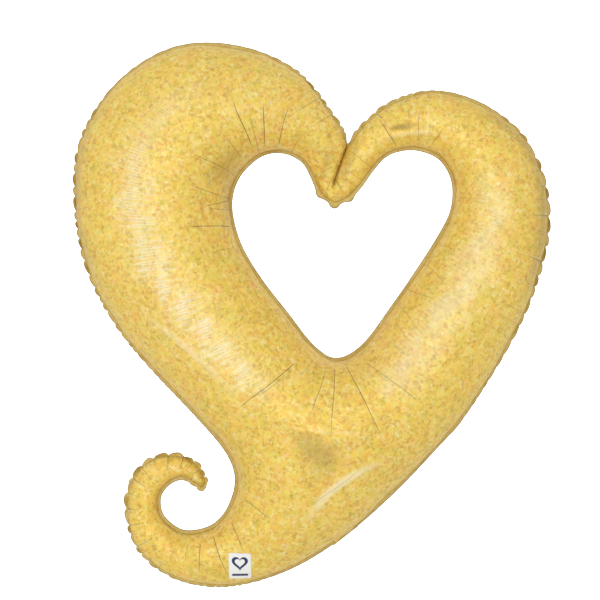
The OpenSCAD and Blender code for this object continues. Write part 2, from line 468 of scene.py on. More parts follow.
# Creases of the front panel in millimetres: from (x, z) to (x, z), depth, half width.
FRONT_CREASES = (
    (0, -240, -6, -332, 1.0, 1.7), (18, -238, 72, -346, 1.1, 1.7), (48, -232, 126, -290, 0.8, 1.6),
    (-13, -242, -35, -304, 0.8, 1.6), (34, -240, 52, -290, 0.35, 1.6), (-32, -228, -52, -252, 0.4, 1.5),
    (-122, 86, -152, 158, 1.1, 1.8), (-104, 90, -104, 150, 1.1, 1.8), (-84, 90, -66, 148, 0.9, 1.8),
    (-64, 82, -50, 101, 0.6, 1.6), (-138, 72, -162, 100, 0.7, 1.9), (-148, 46, -210, 74, 0.6, 2.2),
    (-152, 10, -214, 27, 0.6, 1.6), (-154, -31, -216, -33, 0.9, 1.7), (-150, -62, -190, -74, 0.4, 1.6),
    (92, 90, 68, 128, 1.0, 1.7), (146, 92, 162, 116, 0.7, 1.7), (124, 97, 125, 145, 0.5, 1.8),
    (114, 97, 108, 130, 0.35, 1.8), (81, 116, 146, 121, 1.4, 3.6), (-200, -500, -200, -540, 0.9, 1.6),
    (-181, -490, -158, -548, 0.9, 1.6), (-152, -468, -132, -514, 0.8, 1.6), (-132, -434, -92, -460, 0.8, 1.6),
    (-236, -508, -246, -532, 0.4, 1.6), (-58, -232, -142, -298, 1.1, 1.8), (-70, -250, -150, -304, 0.5, 1.8),
    (-218, -504, -222, -528, 0.5, 1.6), (-90, -540, -60, -500, 0.3, 1.6), (20, 98, 8, 60, 1.0, 3.0),
    (-30, -434, 42, -380, 0.5, 1.6), (10, 62, -2, 34, 1.2, 1.8), (2, 40, 14, 22, 0.8, 1.6),
    (-6, 38, -12, 20, 0.7, 1.6),
)
SOFT_FOLD = 2.5  # a crease wider than this has no line drawn in it
# Bands across the front panel, painted pale as highlights along folds or dark as painted shade where the film
# has sunk: x, z, reach along and across the band, its slope in degrees, how far its ends curve down, the
# painted light from -1 (painted shade) to 1 (painted highlight), and the film's rise.
FRONT_BANDS = (
    (-26, -362, 28, 19, -12, 0, -0.5, -1.6), (-48, -340, 24, 14, 10, 0, -0.16, -0.6),
    (12, -350, 30, 9, 12, 0, -0.2, -0.6), (-14, -386, 34, 14, 40, 0, -0.2, -1.0),
    (4, -408, 58, 6.0, 38, 10, 0.75, 1.2), (-10, -330, 60, 2.5, -4, 0, 0.25, 0.5),
    (-62, -330, 44, 9, -22, 0, -0.18, -0.8), (-212, -212, 74, 4.5, -41, 4, 0.42, 0.6),
    (-224, -224, 40, 1.8, -41, 4, 0.22, 0.3), (311, -8, 120, 13, 90, -24, -0.42, 0.0),
    (262, 112, 50, 9, -42, 6, -0.3, 0.0), (-386, 20, 120, 10, 90, 26, -0.35, 0.0),
    (97, 117, 15, 4, 6, 2, -0.8, -1.0), (126, 118, 24, 3.5, 2, 3, -0.25, -0.4),
    (112, 108, 40, 3.5, 4, 6, 0.3, 0.8), (138, 120, 22, 1.2, 88, 0, 0.5, 0.5),
    (127, 122, 18, 1.0, 94, 0, 0.35, 0.4), (22, 64, 34, 7, 68, 0, -0.35, -1.0),
    (-12, 60, 26, 6, 74, 0, -0.35, -0.8), (-162, 58, 34, 14, 52, 0, -0.4, 0.0),
    (-154, 8, 36, 10, 86, 0, -0.3, 0.0), (-40, 92, 30, 8, -28, 0, -0.18, 0.0),
)


def painted_bands(points, bands):
    """Painted light, highlight or shade, and rise of the bands at each (x, z)."""
    painted_light, rise = np.zeros(len(points)), np.zeros(len(points))
    for x, z, long, wide, slope, bend, depth, lift in bands:
        angle = math.radians(slope)
        local = (points - np.array((x, z)) * MM) / MM
        u = local @ np.array((math.cos(angle), math.sin(angle))) / long
        v = local @ np.array((-math.sin(angle), math.cos(angle))) + bend * u**2
        shape = np.exp(-np.abs(u) ** 3 - np.abs(v / wide) ** (4 if depth > 0 else 2))
        painted_light += depth * shape
        rise += lift * MM * shape
    return painted_light, rise


def crease_frame(points, x0, z0, x1, z1):
    """Each point's place along a crease, from 0 to 1, and its distance from the slightly wavy line."""
    a, b = np.array((x0, z0)) * MM, np.array((x1, z1)) * MM
    run = np.linalg.norm(b - a)
    along = (points - a) @ (b - a) / run**2
    across = (points - a) @ np.array((a[1] - b[1], b[0] - a[0])) / run
    return along, across - 0.5 * MM * np.sin(2 * np.pi * along + x0)


def crease_depth(points, creases):
    """Depth of thin creases at each (x, z), in metres."""
    total = np.zeros(len(points))
    for *ends, depth, width in creases:
        along, across = crease_frame(points, *ends)
        near = np.abs(along - 0.5) < 0.6
        along, across = along[near], across[near] / (width * MM)
        fade = smooth(along, 0, 0.12) * (1 - smooth(along, 0.45, 1))
        total[near] += depth * MM * (bell(across, 1) - 0.35 * bell(across - 2.2, 1.6)) * fade
    return total


def crease_lines(points, creases):
    """Distance to the nearest crease that is drawn as a line, in millimetres and signed by its side, and
    how strong the line is there."""
    off, weight = np.full(len(points), 9.0), np.zeros(len(points))
    for *ends, depth, width in creases:
        if width > SOFT_FOLD:
            continue
        along, across = crease_frame(points, *ends)
        fade = smooth(along, -0.02, 0.06) * (1 - smooth(along, 0.7, 1.05))
        here = fade * bell(across, 3.5 * MM) * min(depth / 0.9, 1.1)
        stronger = here > weight
        weight[stronger] = here[stronger]
        off[stronger] = across[stronger] / MM
    return off, weight


def rays(seam, count, seed):
    """Random faint creases that run from a weld line into the film."""
    rng = np.random.default_rng(seed)
    made = []
    for s in rng.uniform(0.03, 0.97, count) * seam.length:
        p, away = (seam.at([s], values)[0] for values in (seam.points, seam.away))
        run = rng.uniform(14, 48) * MM
        lean = rng.normal(0, 0.25) * np.array((away[1], -away[0]))
        end = p - (away + lean) * run
        made.append((*(p / MM), *(end / MM), rng.uniform(0.25, 0.7), rng.uniform(1.5, 2.2)))
    return made


# For the two arms: strip, ripple spacing at the top and at the foot in millimetres, how steeply the strokes
# cross the band there, the bright band's place across the tube at the top and at the foot, its half width
# as a share of the tube, the ripples' height in millimetres, the shares of the arm's length between which
# it fades in and out, and its strength.
# The band's brightness and its strokes are painted highlights; the ripples are built into the film.
CRIMP_BANDS = (
    (LEFT, (6.6, 10.0), (3.2, 1.2), (0.36, 0.49), (0.062, 0.085), 0.26, (0.24, 0.60, 0.90, 1.0), 1.0),
    (RIGHT, (6.2, 6.6), (3.0, 2.2), (0.60, 0.66), (0.11, 0.11), 0.12, (0.40, 0.55, 0.94, 1.04), 0.75),
)


def crimp_bands(film, share):
    """For every point of the film: turns along the crest, place across the bright band (-1 to 1 inside it),
    the strength of the highlight painted on the band, and the height of the ripples in metres."""
    turns, across = np.zeros(len(film.points)), np.full(len(film.points), 9.0)
    strength, ripple = np.zeros(len(film.points)), np.zeros(len(film.points))
    for strip, pitch, steep, centre, half, rise, (low, full, fading, high), force in CRIMP_BANDS:
        mine = film.strip == strip
        run = film.along[mine]
        reach = run.max()
        p = film.points[mine]
        tall = np.linspace(0, reach, 400)
        steps = np.diff(tall) / (np.interp(tall[1:], (0, reach), pitch) * MM)
        count = np.interp(run, tall, np.concatenate([[0], np.cumsum(steps)]))
        turns[mine] = count
        half = np.interp(run, (0.35 * reach, 0.75 * reach), half)
        middle = np.interp(run, (0.2 * reach, 0.9 * reach), centre) + 0.03 * waves(p, 60 * MM, 34)
        place = (share[mine] - middle) / half
        across[mine] = place / np.interp(run, (0.35 * reach, 0.75 * reach), steep)
        ends = smooth(run, low * reach, full * reach) * (1 - smooth(run, fading * reach, high * reach))
        patchy = np.clip(0.85 + 0.3 * waves(p, 30 * MM, 33), 0.1, 1.2)
        strength[mine] = force * ends * patchy * bell(place, 1.5)
        phase = 2 * np.pi * count + 1.2 * waves(p, 34 * MM, 31)
        ripple[mine] = rise * MM * np.sin(phase) * (ends * patchy) * bell(place, 2.0)
    return turns, across, strength, ripple


# ---------------------------------------------------------------- mesh building


def add_mesh(name, points, faces, material, body):
    """Makes a smooth mesh object from points and faces, and lets it ride on a body if one is given."""
    mesh = bpy.data.meshes.new(name)
    mesh.from_pydata(points.tolist(), [], faces.tolist() if isinstance(faces, np.ndarray) else faces)
    mesh.validate()
    mesh.shade_smooth()
    mesh.materials.append(material)
    piece = bpy.data.objects.new(name, mesh)
    bpy.context.scene.collection.objects.link(piece)
    if body:
        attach(piece, body)
    return piece


def store(piece, name, values):
    """Stores a value at each point of a mesh, for its material to read."""
    piece.data.attributes.new(name, "FLOAT", "POINT").data.foreach_set("value", values.astype(np.float32))


def mirrored(section):
    """A closed flat section from its upper half, given as places across and half thicknesses."""
    return [*section, *((w, -t) for w, t in reversed(section))]


def swept(rows, closed):
    """Points and quads of a band: rows is an array of places along, points round the section and x, y, z."""
    count, section = rows.shape[:2]
    r, c = np.meshgrid(np.arange(count if closed else count - 1), np.arange(section), indexing="ij")
    nr, nc = (r + 1) % count, (c + 1) % section
    quads = np.stack([r * section + c, r * section + nc, nr * section + nc, nr * section + c], -1)
    return rows.reshape(-1, 3), quads.reshape(-1, 4)


def flat_fill(boundary, pitch, holes=()):
    """Points and triangles inside a closed line and outside the holes, with a lattice of the pitch."""
    low, high = boundary.min(0), boundary.max(0)
    xs = np.arange(low[0], high[0], pitch)
    zs = np.arange(low[1], high[1], pitch * math.sqrt(3) / 2)
    grid = np.array([(x + (k % 2) * pitch / 2, z) for k, z in enumerate(zs) for x in xs])
    loops = [boundary, *holes]
    lines = np.vstack(loops)
    tree = tree_of(lines)
    kept = [
        p for p in grid
        if inside(p, boundary) and not any(inside(p, hole) for hole in holes)
        and tree.find((p[0], p[1], 0))[2] > pitch * 0.55
    ]
    given = np.vstack([lines, kept]) if kept else lines
    edges, start = [], 0
    for loop in loops:
        ring = list(range(start, start + len(loop)))
        edges += list(zip(ring, ring[1:] + ring[:1]))
        start += len(loop)
    corners = [Vector(p) for p in given]
    made = geometry.delaunay_2d_cdt(corners, edges, [list(range(len(boundary)))], 1, 1e-9)
    points = np.array([given[sources[0]] if sources else tuple(v) for v, sources in zip(made[0], made[3])])
    faces = np.array([f[:3] for f in made[2]])
    centres = points[faces].mean(1)
    keep = [not any(inside(c, hole) for hole in holes) for c in centres]
    return points, faces[np.array(keep)]


def thin_solid(points, faces, place, low, high):
    """A closed sheet: place maps (u, v, w) rows to x, y, z, and w runs from low to high."""
    count = len(points)
    ends = [place(np.column_stack([points, np.full(count, w)])) for w in (low, high)]
    pairs = [(int(a), int(b)) for face in faces for a, b in zip(face, np.roll(face, -1))]
    known = set(pairs)
    rim = [(a, b) for a, b in pairs if (b, a) not in known]
    quads = [(b, a, a + count, b + count) for a, b in rim]
    made = [tuple(int(k) for k in face[::-1]) for face in faces]
    made += [tuple(int(k) + count for k in face) for face in faces]
    return np.vstack(ends), made + quads


def rounded(width, height, radius, centre):
    """A closed rectangle with rounded corners, counter-clockwise."""
    points = []
    for k, (sx, sz) in enumerate(((1, -1), (1, 1), (-1, 1), (-1, -1))):
        for turn in np.linspace(0, np.pi / 2, 6):
            angle = turn + (k - 1) * np.pi / 2
            points.append((
                centre[0] + sx * (width / 2 - radius) + radius * math.cos(angle),
                centre[1] + sz * (height / 2 - radius) + radius * math.sin(angle),
            ))
    return np.array(points)


def densified(loop, pitch):
    """A closed line with extra points, so that no step is much longer than pitch."""
    out = []
    for a, b in zip(loop, np.roll(loop, -1, 0)):
        steps = max(int(round(np.linalg.norm(b - a) / pitch)), 1)
        out += [a + (b - a) * k / steps for k in range(steps)]
    return np.array(out)


# ---------------------------------------------------------------- materials


class Nodes:
    """Short ways to add and link the nodes of one material."""

    def __init__(self, name):
        self.material = bpy.data.materials.new(name)
        self.material.use_nodes = True
        self.tree = self.material.node_tree
        self.shader = self.tree.nodes["Principled BSDF"]
        self.place = self.add("ShaderNodeTexCoord").outputs["Object"]

    def add(self, kind, **settings):
        node = self.tree.nodes.new(kind)
        for key, value in settings.items():
            setattr(node, key, value)
        return node

    def link(self, socket, value):
        """Gives a socket a value, or links it to another node's output."""
        if isinstance(value, bpy.types.NodeSocket):
            self.tree.links.new(value, socket)
        else:
            socket.default_value = value

    def feed(self, node, **inputs):
        for key, value in inputs.items():
            self.link(node.inputs[key.replace("_", " ")], value)

    def noise(self, scale, detail=2.0, roughness=0.5):
        node = self.add("ShaderNodeTexNoise")
        self.feed(node, Vector=self.place, Scale=scale, Detail=detail, Roughness=roughness)
        return node.outputs["Fac"]

    def cells(self, scale, vector):
        """One random colour for each cell of a 3-D Voronoi pattern."""
        node = self.add("ShaderNodeTexVoronoi", feature="F1")
        self.feed(node, Vector=vector, Scale=scale)
        return node.outputs["Color"]

    def channel(self, colour, k):
        node = self.add("ShaderNodeSeparateColor")
        self.feed(node, Color=colour)
        return node.outputs[k]

    def ramp(self, value, stops):
        node = self.add("ShaderNodeValToRGB")
        stones = node.color_ramp.elements
        while len(stones) < len(stops):
            stones.new(0.5)
        for stone, (at, colour) in zip(stones, stops):
            stone.position = at
            stone.color = tint(*colour)
        self.feed(node, Fac=value)
        return node.outputs["Color"]

    def mix(self, factor, a, b):
        node = self.add("ShaderNodeMix", data_type="RGBA")
        for key, value in ((0, factor), (6, a), (7, b)):
            self.link(node.inputs[key], value)
        return node.outputs[2]

    def spread(self, value, low, high, start=0.0, end=1.0):
        node = self.add("ShaderNodeMapRange")
        self.feed(node, Value=value, From_Min=start, From_Max=end, To_Min=low, To_Max=high)
        return node.outputs["Result"]

    def math(self, operation, *values):
        node = self.add("ShaderNodeMath", operation=operation)
        for socket, value in zip(node.inputs, values):
            self.link(socket, value)
        return node.outputs[0]

    def times(self, first, *others):
        """The product of several values."""
        for other in others:
            first = self.math("MULTIPLY", first, other)
        return first

    def most(self, first, *others):
        """The greatest of several values."""
        for other in others:
            first = self.math("MAXIMUM", first, other)
        return first

    def value(self, name):
        """A value stored at the mesh's points."""
        return self.add("ShaderNodeAttribute", attribute_name=name).outputs["Fac"]

    def line(self, distance, half):
        """1 on a line and 0 from half away."""
        node = self.add("ShaderNodeMapRange", interpolation_type="SMOOTHSTEP")
        self.feed(node, Value=distance, From_Min=0.0, From_Max=half, To_Min=1.0, To_Max=0.0)
        return node.outputs["Result"]

    def bump(self, height, strength, distance):
        node = self.add("ShaderNodeBump")
        self.feed(node, Height=height, Strength=strength, Distance=distance)
        return node.outputs["Normal"]


def tint(r, g, b):
    """Opaque linear colour from 0-255 display values."""
    linear = (c / 255 / 12.92 if c <= 10.31 else ((c / 255 + 0.055) / 1.055) ** 2.4 for c in (r, g, b))
    return (*linear, 1)


def draw_folds(n, colour, height, shade):
    """Paints shade on the film near its welds, and draws the thin folds, creases and crimps whose places are
    stored
    with the mesh: painted shade in the folds and creases, painted highlights beside the creases and on the
    crimps."""
    distance, turn, weight = n.value("seam_distance"), n.value("pleat_turn"), n.value("pleat_weight")
    painted_light, off, strong = n.value("painted_light"), n.value("crease_off"), n.value("crease_weight")
    crimp = n.value("crimp_weight")
    # Painted shade where the film curves away from the light near its welds.
    colour = n.mix(n.spread(distance, 0.62, 0.0, 0.0, 12.0), colour, tint(*shade))
    # Painted highlights where the painted light is above zero, painted shade where it is below.
    colour = n.mix(n.spread(painted_light, 0.0, 0.9), colour, tint(255, 244, 206))
    colour = n.mix(n.spread(painted_light, 0.9, 0.0, -1.0, 0.0), colour, tint(140, 112, 52))
    # Thin dark lines: painted shade in the pleats, gathers and creases, and the dark weld line itself.
    gather = n.line(n.math("PINGPONG", n.times(turn, 3.0), 0.5), 0.2)
    gather = n.times(gather, n.value("gather_weight"), 0.75)
    pleat = n.most(n.times(n.line(n.math("PINGPONG", turn, 0.5), 0.085), weight), gather)
    crease = n.times(n.line(n.math("ABSOLUTE", off), 0.75), strong)
    dark = n.most(n.times(pleat, 0.6), crease, n.times(n.line(distance, 2.2), 0.7))
    colour = n.mix(n.times(dark, 0.92), colour, tint(86, 62, 20))
    # Painted highlights: a pale line beside each crease, pale strokes on the crimps, pale lines on the pucker
    # folds and a pale glow over the crimp band.
    beside = n.times(n.line(n.math("ABSOLUTE", n.math("ADD", off, -1.6)), 1.0), strong)
    zigzag = n.math("MULTIPLY_ADD", n.math("PINGPONG", n.value("crimp_turn"), 0.5), 4.0, -1.0)
    stray = n.math("ABSOLUTE", n.math("SUBTRACT", n.value("crimp_across"), zigzag))
    stroke = n.times(n.line(stray, 0.6), crimp)
    fold = n.line(n.math("PINGPONG", n.math("ADD", turn, -0.1), 0.5), 0.07)
    fold = n.times(fold, weight, 0.3)
    pale = n.most(n.times(stroke, 0.85), n.times(beside, 0.2), fold, n.times(crimp, 0.26))
    colour = n.mix(pale, colour, tint(255, 250, 226))
    height = n.math("ADD", height, n.times(stroke, 0.8))
    return colour, n.math("SUBTRACT", height, n.times(n.most(pleat, crease), 1.1))


def glitter(name, shade, metallic, drawn):
    """Gold film printed all over with glitter: blurred flakes of gold, cream, orange and olive. Where drawn is
    set, thin folds, creases and crimps follow the values stored with the mesh, with painted shade and painted
    highlights; otherwise the colour is mixed towards shade, which is painted shade on the margins, darkest at
    their outer edge."""
    n = Nodes(name)
    wobble = n.add("ShaderNodeTexNoise")
    n.feed(wobble, Vector=n.place, Scale=330.0, Detail=2.0)
    shifted = n.add("ShaderNodeVectorMath", operation="MULTIPLY_ADD")
    for socket, value in zip(shifted.inputs, (wobble.outputs["Color"], (0.006,) * 3, n.place)):
        n.link(socket, value)
    coarse = n.cells(140.0, shifted.outputs[0])
    fine = n.cells(270.0, shifted.outputs[0])
    flakes = n.ramp(n.channel(coarse, 0), (
        (0.0, (184, 136, 60)), (0.14, (238, 166, 78)), (0.3, (250, 212, 90)), (0.46, (230, 204, 84)),
        (0.58, (196, 178, 76)), (0.7, (255, 234, 124)), (0.84, (234, 172, 88)), (1.0, (255, 246, 180)),
    ))
    specks = n.ramp(n.channel(fine, 1), (
        (0.0, (146, 100, 42)), (0.14, (206, 152, 62)), (0.35, (244, 206, 86)), (0.65, (254, 220, 100)),
        (0.86, (255, 240, 146)), (1.0, (255, 252, 210)),
    ))
    clouds = n.ramp(n.noise(46.0, 5.0, 0.7), (
        (0.30, (214, 198, 76)), (0.5, (244, 212, 92)), (0.70, (250, 192, 100)),
    ))
    colour = n.mix(0.42, n.mix(0.5, flakes, specks), clouds)
    height = n.times(n.channel(fine, 0), 0.25)
    if drawn:
        colour, height = draw_folds(n, colour, height, shade)
    else:
        # The colour mixed towards shade: on the margins and weld bands this is painted shade, while the neck's
        # shade is its own gold.
        colour = n.mix(0.55, colour, tint(*shade))
        # Painted shade, darkest at the margin's outer edge.
        shaded_tip = n.line(n.math("SUBTRACT", 1.0, n.value("rim")), 0.4)
        colour = n.mix(n.times(shaded_tip, 0.8), colour, tint(84, 70, 40))
    rough = n.spread(n.channel(coarse, 2), 0.42, 0.6)
    n.feed(n.shader, Base_Color=colour, Roughness=rough, Metallic=metallic, Normal=n.bump(height, 0.5, 0.0007),
           Coat_Weight=0.14, Coat_Roughness=0.25)
    return n.material


def clear_film(name):
    """Milky translucent valve film with faint draw lines."""
    n = Nodes(name)
    lines = n.noise(160.0, 3.0, 0.7)
    colour = n.ramp(lines, ((0.3, (214, 214, 208)), (0.7, (236, 236, 232))))
    n.feed(n.shader, Base_Color=colour, Roughness=n.spread(lines, 0.22, 0.4), Transmission_Weight=0.35,
           Alpha=0.82, Normal=n.bump(lines, 0.2, 0.0005))
    return n.material


def ink(name, dark, light):
    """Printed ink on the film: slightly uneven, with a soft gloss."""
    n = Nodes(name)
    mottle = n.noise(700.0, 3.0, 0.6)
    n.feed(n.shader, Base_Color=n.ramp(mottle, ((0.3, dark), (0.7, light))),
           Roughness=n.spread(mottle, 0.28, 0.42), Normal=n.bump(mottle, 0.08, 0.0003), Coat_Weight=0.2)
    return n.material


# Its shade is the painted shade near the welds.
GOLD = glitter("glitter_film", (158, 138, 72), 0.2, True)
# Gold film of the margins and weld bands, darkened with painted shade.
SEAM_GOLD = glitter("seam_film", (184, 158, 90), 0.1, False)
NECK_GOLD = glitter("neck_glitter_film", (238, 206, 100), 0.2, False)
CLEAR = clear_film("valve_film")
WHITE_INK = ink("white_ink", (238, 238, 236), (250, 250, 250))
NAVY_INK = ink("navy_ink", (24, 34, 86), (38, 50, 112))


# ---------------------------------------------------------------- the inflated film

outer_seam = Seam(left_line, right_line, 1)
heart_seam = Seam(heart_left, heart_right, -1)
puckers = Puckers(outer_seam)

film = lay_out_film()
rim = edge_points(film)
height = ROUNDNESS * np.sqrt(2 * np.maximum(solve_poisson(film.points, film.faces, rim), 0))
outer_s, outer_p = outer_seam.nearest(film.points)
heart_s, heart_p = heart_seam.nearest(film.points)
outer_d, heart_d = np.hypot(outer_p, height), np.hypot(heart_p, height)
across = outer_p / (outer_p + heart_p + 1e-9)
on_outer = rim[outer_p[rim] < heart_p[rim]]
on_heart = rim[outer_p[rim] >= heart_p[rim]]
crimp_turn, crimp_across, crimp_weight, ripple = crimp_bands(film, across)
from_notch = np.linalg.norm(film.points, axis=1)
notch_fade = smooth(from_notch, 6 * MM, 40 * MM)
# The front bands' painted highlights and painted shade, and the film's rise under them.
front_painted_light, front_rise = painted_bands(film.points, FRONT_BANDS)
# Pale streaks painted as highlights on wrinkles near the top of the left lobe.
wrinkle_highlights = np.clip(waves(film.points * np.array((1, 0.45)), 6 * MM, 62) - 0.4, 0, 1)
wrinkled = np.linalg.norm(film.points - np.array((-105, 150)) * MM, axis=1)
front_painted_light += 0.6 * wrinkle_highlights * bell(wrinkled, 48 * MM)
tip_crumple = 1.5 * MM * waves(film.points, 11 * MM, 61) * bell(from_notch, 26 * MM)
RIM_Y = 0.25 * MM  # the film's distance from the plane of the seams at its weld
NOTCH_REACH = 0.22  # length of weld line on each side of the notch that may press on the other


def notch_gaps(s):
    """Distance from each place on the outer weld line to the lobe on the other side of the notch."""
    low, high = outer_seam.s < NOTCH_REACH, outer_seam.s > outer_seam.length - NOTCH_REACH
    here = outer_seam.at(s, outer_seam.points)
    gaps = np.full(len(s), 1.0)
    for near, mine in ((high, s < NOTCH_REACH), (low, s > outer_seam.length - NOTCH_REACH)):
        tree = tree_of(outer_seam.points[near])
        for k in np.flatnonzero(mine):
            gaps[k] = tree.find((here[k][0], here[k][1], 0))[2]
    return gaps


outer_gaps = notch_gaps(outer_seam.s)
pressing = (0.5 * outer_gaps + 0.2 * MM) * (1 - smooth(outer_gaps, 5 * MM, 10 * MM))
notch_press = outer_seam.read(outer_s, pressing)


def panel_points(side):
    """The front (side -1) or rear (side 1) panel's points with everything that is worked into the film."""
    p = film.points
    base = np.column_stack([p[:, 0], side * (height + RIM_Y), p[:, 1]])
    faces = film.faces if side == FRONT else film.faces[:, ::-1]
    normal = normals_of(base, faces)
    for ends, seam, s in ((on_outer, outer_seam, outer_s), (on_heart, heart_seam, heart_s)):
        away = seam.outwards(s[ends])
        normal[ends] = np.column_stack([away[:, 0], np.zeros(len(ends)), away[:, 1]])
    spread = np.exp(-((outer_d / PUCKER_REACH) ** 1.3))
    push = puckers.swelling(outer_s) * spread - puckers.folding(outer_s, outer_d, side)
    inner = smooth(np.minimum(outer_d, heart_d), 0, 9 * MM)
    push += inner * notch_fade * ripple
    if side == FRONT:
        creases = list(FRONT_CREASES) + rays(heart_seam, 14, 21)
        push += front_rise * inner
    else:
        creases = rays(heart_seam, 40, 22) + rays(outer_seam, 24, 23)
    push -= crease_depth(p, creases) * inner
    push += notch_press * (1 - smooth(outer_d, 14 * MM, 40 * MM))
    push += tip_crumple * inner
    seed = 40 if side == FRONT else 50
    push += inner * (0.8 * MM * waves(p, 95 * MM, seed) + 0.22 * MM * waves(p, 30 * MM, seed + 1))
    return base + normal * push[:, None], faces, line_values(side, creases)


def line_values(side, creases):
    """Named values at the film's points, from which the material paints shade in its thin folds and creases,
    highlights beside them and on the crimps, and the front bands' painted light.
    """
    k, share = puckers.phase(outer_s)
    near = np.where(share < 0.5, k, k + 1)
    swell = puckers.height_at(outer_s)
    pleat = np.clip(swell / (2.2 * MM), 0, 1.2) * puckers.depth[side][near]
    off, strong = crease_lines(film.points, creases)
    # Where dark lines of painted shade mark the gathers by the outer weld line.
    gathers = np.clip(swell / (2.4 * MM), 0, 1) * bell(outer_d, 13 * MM)
    gathers *= np.clip(0.5 + 0.7 * waves(film.points, 16 * MM, 70 + side), 0, 1)
    return {
        "pleat_turn": k + share,
        "pleat_weight": pleat * bell(outer_d, 1.5 * puckers.reach[side][near]),
        "crease_off": off, "crease_weight": strong,
        "crimp_turn": crimp_turn, "crimp_across": crimp_across,
        "crimp_weight": crimp_weight * notch_fade,
        "seam_distance": np.minimum(outer_d, heart_d) / MM,
        "gather_weight": gathers,
        "painted_light": front_painted_light if side == FRONT else np.zeros(len(front_painted_light)),
    }


panels = {}
for name, side, node in (("front_film", FRONT, "front_panel"), ("rear_film", REAR, "rear_panel")):
    points, faces, values = panel_points(side)
    piece = add_mesh(name, points, faces, GOLD, "envelope")
    for key, value in values.items():
        store(piece, key, value)
    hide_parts(node)
    panels[side] = (points, faces)


# ---------------------------------------------------------------- welded margins

MARGIN_SECTION = (  # distance out from the weld line and half thickness, in millimetres
    (-1.2, 0.22), (0.4, 0.25), (0.9, 0.14), (1.5, 0.14), (2.0, 0.25), (3.6, 0.24), (4.2, 0.17), (4.6, 0.24),
    (5.2, 0.22), (5.5, 0.08),
)


def margin(name, node, seam, lift, tilt, width):
    """A welded double margin: it stands on the displaced weld line and leans by tilt."""
    s = seam.s[::3]
    root = seam.at(s, seam.points)
    away = seam.outwards(s)
    root = root + away * lift(s)[:, None]
    section = mirrored(MARGIN_SECTION)
    lean, wide = tilt(s), width(s)
    rows = []
    for w, t in section:
        out = w * MM * (wide if w > 0 else 1)
        turn = lean * smooth(np.full(len(s), w), -0.5, 3.0)
        flat = out * np.cos(turn) - t * MM * np.sin(turn)
        deep = -out * np.sin(turn) - t * MM * np.cos(turn)
        rows.append(np.column_stack([root[:, 0] + away[:, 0] * flat, deep, root[:, 1] + away[:, 1] * flat]))
    points, quads = swept(np.stack(rows, 1), True)
    piece = add_mesh(name, points, quads, SEAM_GOLD, "envelope")
    store(piece, "rim", np.tile([w * MM / MARGIN for w, _ in section], len(s)))
    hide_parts(node)


def outer_lift(s):
    """How far the outer margin stands out with the film's puckers and at the notch."""
    return puckers.swelling(s) + outer_seam.read(s, pressing)


def outer_tilt(s):
    """Neighbouring puckers lean to opposite sides."""
    k, share = puckers.phase(s)
    turns = np.sin(np.pi * (k + share))
    sway = np.interp(s, puckers.folds, puckers.lean)
    return np.clip(puckers.height_at(s) / (3 * MM), 0, 1.2) * (0.55 * turns + 0.25 * sway)


def outer_width(s):
    """The outer margin's width as a share of its full width: petals between the folds, and no more than
    fits between the two lobes at the notch."""
    fits = np.clip(0.3 * outer_seam.read(s, outer_gaps) / MARGIN, 0.06, 2)
    return np.minimum(puckers.petals(s), fits)


# Places in millimetres where the opening's margin is wider, below the notch, and by how much.
NOTCH_TAB = (((-18, 22), 0.65), ((19, 20), 0.7), ((2, 2), 0.8))


def heart_width(s):
    """The opening's margin, with the corners and the middle of the tab below the notch."""
    share, length = np.full(len(s), 0.92), heart_seam.length
    for place, extra in NOTCH_TAB:
        at = heart_seam.nearest(np.array([place]) * MM)[0][0]
        share += extra * bell((s - at + length / 2) % length - length / 2, 6 * MM)
    return share


margin("outer_margin", "outer_seam", outer_seam, outer_lift, outer_tilt, outer_width)
margin(
    "heart_margin", "heart_seam", heart_seam, lambda s: np.zeros(len(s)),
    lambda s: 0.1 * np.sin(2 * np.pi * s / 0.11), heart_width,
)


# ---------------------------------------------------------------- the fill neck

NECK_ROOT = np.array((13.65, 0, -488.6)) * MM
NECK_SLOPE = math.radians(38)
NECK_ALONG = np.array((math.cos(NECK_SLOPE), 0, math.sin(NECK_SLOPE)))
NECK_IN = np.array((-math.sin(NECK_SLOPE), 0, math.cos(NECK_SLOPE)))
NECK_BACK = np.array((0, 1, 0))
NECK_OUT = 7 * MM  # from the weld line to the fold
NECK_LENGTH = 62 * MM  # from the fold to the mouth
NECK_WIDTH = 46 * MM
NECK_PITCH = 0.8 * MM  # fine enough for the bend
BEND = 2 * MM  # radius of the fold
STRAIGHT = NECK_OUT - BEND
NECK_RUN = STRAIGHT + BEND * math.pi / 2 + NECK_LENGTH - BEND


def neck_wave(u, v):
    """The slack film's waviness: flat at the seam and freer towards the mouth."""
    free = smooth(v, 8 * MM, NECK_RUN)
    pleats = 0.5 * np.sin(2 * np.pi * u / (19 * MM) + 24 * v + 0.6)
    pleats += 0.16 * np.sin(2 * np.pi * u / (8.5 * MM) - 40 * v)
    sag = 0.7 * np.sin(2 * np.pi * v / (37 * MM))
    ripples = 0.25 * np.sin(2 * np.pi * v / (6.5 * MM)) * bell(v - 12 * MM, 9 * MM)
    return MM * (free * (1.5 * pleats + sag) + ripples)


